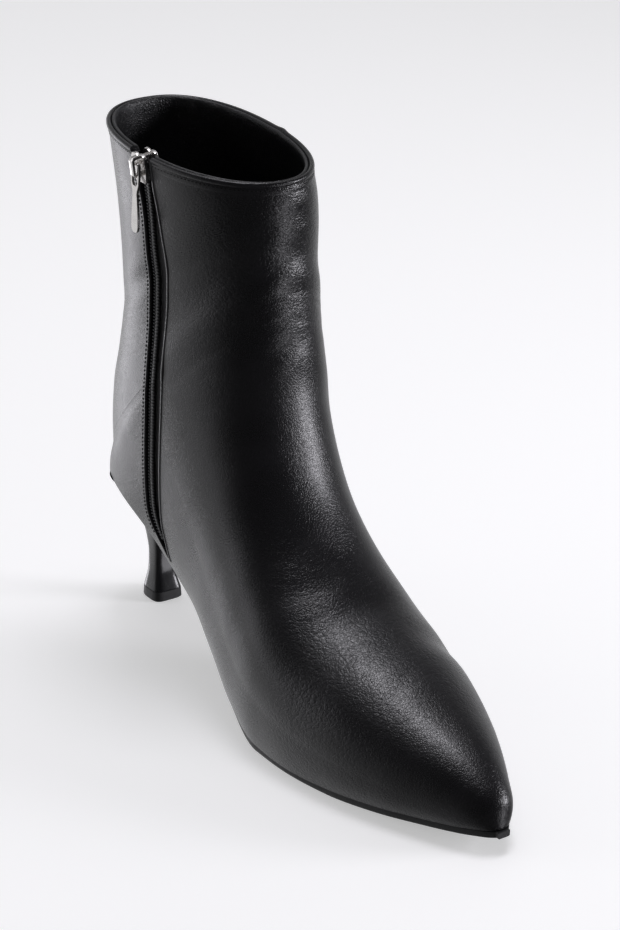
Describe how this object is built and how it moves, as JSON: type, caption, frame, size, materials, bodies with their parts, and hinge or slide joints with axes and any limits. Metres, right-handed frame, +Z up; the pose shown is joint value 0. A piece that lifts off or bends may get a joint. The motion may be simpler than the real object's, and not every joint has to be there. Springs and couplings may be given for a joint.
{
  "type": "stiletto ankle bootie",
  "caption": "Left black leather ankle bootie with a pointed toe, an inside zip and a slim flared stiletto heel.",
  "frame": {"origin": "on the floor, under the middle of the boot's bounding box", "axes": "+Z up, -Y towards the toe, +X towards the outer side of the left foot, -X towards the zip"},
  "size_m": [0.0797, 0.2469, 0.2104],
  "materials": {
    "leather": "fine-grained black leather with a soft sheen",
    "sole_rubber": "matte black",
    "heel_cover": "smooth glossy black cover",
    "heel_lift": "hard matte black",
    "insole_lining": "matte dark lining",
    "zip_cloth": "black woven tape",
    "zip_coil": "black plastic coil",
    "zip_metal": "polished nickel"
  },
  "bodies": {
    "boot": {"outsole": "sole_rubber", "heel": "heel_cover", "heel_top_piece": "heel_lift", "upper": "leather", "insole": "insole_lining", "zip_tape": "zip_cloth", "zip_teeth": "zip_coil", "zip_slider": "zip_metal"},
    "pull": {"zip_pull": "zip_metal"}
  },
  "joints": [
    {"name": "pull_hinge", "type": "hinge", "parent": "boot", "child": "pull", "pos_m": [-0.03483, 0.06961, 0.20218], "axis": [-0.023, 0.9997, 0], "range_deg": [0, 170]}
  ]
}
